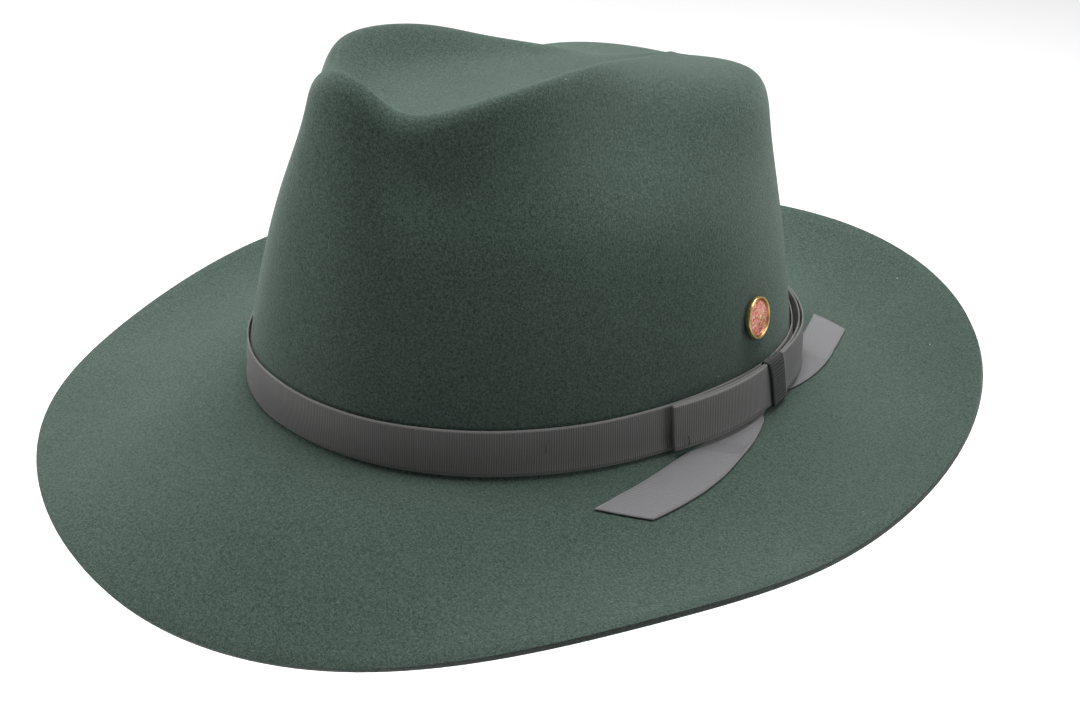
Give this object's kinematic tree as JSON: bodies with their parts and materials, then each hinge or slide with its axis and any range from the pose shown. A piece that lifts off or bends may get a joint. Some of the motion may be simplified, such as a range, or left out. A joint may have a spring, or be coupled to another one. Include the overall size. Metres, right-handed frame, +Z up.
{
  "type": "felt hat",
  "caption": "Teardrop-crown felt hat with a snap brim, ribbon band with a side bow and tails, a pin badge, a leather sweatband and a satin lining.",
  "frame": {"origin": "centre of the head opening, level with the break between crown and brim", "axes": "+Z up through the crown, -Y toward the front of the hat, +X toward the wearer's left, where the bow and the badge are"},
  "size_m": [0.3018, 0.3473, 0.1528],
  "materials": {
    "felt": "matte felt",
    "grosgrain_ribbon": "ribbed matte",
    "dark_thread": "matte thread",
    "brass": "polished",
    "enamel": "glossy enamel",
    "steel": "bright",
    "leather": "smooth",
    "cover_tape": "matte",
    "reed_plastic": "satin",
    "sewing_thread": "matte thread",
    "paper": "matte",
    "satin": "satin weave"
  },
  "bodies": {
    "hat": {"felt_body": "felt", "hat_band": "grosgrain_ribbon", "bow_front_loop": "grosgrain_ribbon", "bow_rear_loop": "grosgrain_ribbon", "bow_knot": "grosgrain_ribbon", "bow_front_tail": "grosgrain_ribbon", "bow_rear_tail": "grosgrain_ribbon", "band_stitch": "dark_thread", "loop_stitch": "dark_thread", "sweatband": "leather", "sweatband_reed": "reed_plastic", "reed_tape": "cover_tape", "sweatband_stitching": "sewing_thread", "rear_bow_left": "grosgrain_ribbon", "rear_bow_right": "grosgrain_ribbon", "rear_bow_knot": "grosgrain_ribbon", "size_tab": "paper", "lining_side": "satin", "lining_tip": "satin"},
    "badge": {"badge_bezel": "brass", "badge_enamel": "enamel", "badge_post": "steel"},
    "clutch": {"badge_clutch": "brass"}
  },
  "joints": [
    {"name": "badge_turn", "type": "hinge", "parent": "hat", "child": "badge", "pos_m": [0.07782, 0.0325, 0.0337], "axis": [0.96, 0.2225, 0.1698], "continuous": true},
    {"name": "clutch_slide", "type": "slide", "parent": "badge", "child": "clutch", "axis": [-0.96, -0.2225, -0.1698], "range_m": [0, 0.0025]}
  ]
}
